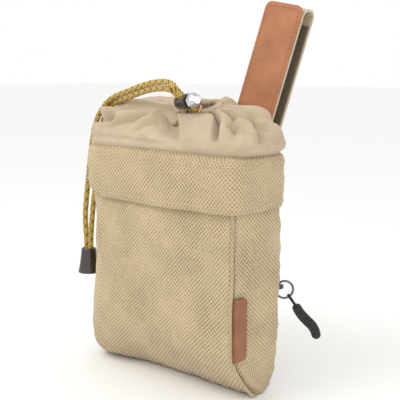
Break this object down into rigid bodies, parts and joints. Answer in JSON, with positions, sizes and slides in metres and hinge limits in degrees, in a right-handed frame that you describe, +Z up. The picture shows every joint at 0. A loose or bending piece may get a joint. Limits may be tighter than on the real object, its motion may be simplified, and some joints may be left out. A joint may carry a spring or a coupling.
{
  "type": "treat pouch",
  "caption": "Canvas belt pouch with a drawstring mouth and cord lock, a leather-faced belt strap that opens on hook-and-loop tape, and a zipped back pocket.",
  "frame": {"origin": "centre of the gap in the belt strap that the belt runs through", "axes": "+X to the right seen from the front, along the bag's width; -Y is the front; +Z up"},
  "size_m": [0.1417, 0.0709, 0.2053],
  "materials": {
    "canvas": "coarse plain weave, matt",
    "collar_cloth": "smoother light canvas, matt",
    "lining": "coated ripstop, slightly glossy",
    "cord": "round braid, ochre with dark flecks",
    "copper": "bright copper",
    "gunmetal": "dark gunmetal, glossy",
    "polished_metal": "polished facets",
    "spring_steel": "bright wire",
    "webbing": "ribbed webbing",
    "dark_tape": "ribbed hook-and-loop tape",
    "leather": "tan vegetable-tanned leather",
    "thread": "thick sewing thread",
    "zip_cloth": "fine woven tape",
    "zip_coil": "nylon coil",
    "zip_metal": "nickel plate",
    "black_braid": "black braided cord",
    "black_rubber": "moulded soft rubber"
  },
  "bodies": {
    "pouch": {"front_panel": "canvas", "right_gusset": "canvas", "left_gusset": "canvas", "back_panel": "canvas", "cuff_band": "canvas", "inner_lining": "lining", "pocket_bag": "lining", "gathered_collar": "collar_cloth", "drawcord_casing": "collar_cloth", "cord_eyelet": "copper", "drawcord_loop": "cord", "drawcord_strand_a": "cord", "drawcord_strand_b": "cord", "cord_end_knot": "cord", "cord_end_bell": "gunmetal", "belt_strap_front": "webbing", "loop_tape": "dark_tape", "strap_leather_facing": "leather", "seam_tag": "leather", "strap_base_stitching": "thread", "zip_tape_upper": "zip_cloth", "zip_tape_lower": "zip_cloth", "zip_coil_upper": "zip_coil", "zip_coil_lower": "zip_coil", "zip_stop_left": "zip_metal", "zip_stop_right": "zip_metal"},
    "cord_lock": {"cord_lock_barrel": "gunmetal", "cord_lock_spring": "spring_steel"},
    "lock_button": {"cord_lock_button": "polished_metal"},
    "strap_tail": {"belt_strap_rear": "webbing", "hook_tape": "dark_tape"},
    "zip_slider": {"zip_slider": "zip_metal"},
    "zip_ring": {"zip_ring": "zip_metal"},
    "zip_pull": {"zip_pull_cord": "black_braid", "zip_pull_grip": "black_rubber"}
  },
  "joints": [
    {"name": "cord_lock_slide", "type": "slide", "parent": "pouch", "child": "cord_lock", "axis": [-0.3144, -0.6337, 0.7068], "range_m": [0, 0.004], "deforming": ["drawcord_strand_a", "drawcord_strand_b"]},
    {"name": "lock_button_press", "type": "slide", "parent": "cord_lock", "child": "lock_button", "axis": [-0.9274, 0.3639, -0.0862], "range_m": [0, 0.0015], "stiffness_N_per_m": 1500, "deforming": ["cord_lock_spring"]},
    {"name": "strap_open", "type": "hinge", "parent": "pouch", "child": "strap_tail", "pos_m": [0.00586, 0.01183, 0.03014], "axis": [0.9816, 0, -0.1908], "range_deg": [0, 90]},
    {"name": "zip_slide", "type": "slide", "parent": "pouch", "child": "zip_slider", "axis": [1, 0, 0], "range_m": [-0.08, 0], "deforming": ["zip_coil_upper", "zip_coil_lower"]},
    {"name": "zip_ring_swing", "type": "hinge", "parent": "zip_slider", "child": "zip_ring", "pos_m": [0.01479, -0.01137, -0.11323], "axis": [0, 0, 1], "range_deg": [-40, 100]},
    {"name": "zip_pull_swing", "type": "hinge", "parent": "zip_ring", "child": "zip_pull", "pos_m": [0.01981, -0.00634, -0.11869], "axis": [0.7071, -0.7071, 0], "range_deg": [-40, 60], "deforming": ["zip_pull_cord"]}
  ]
}
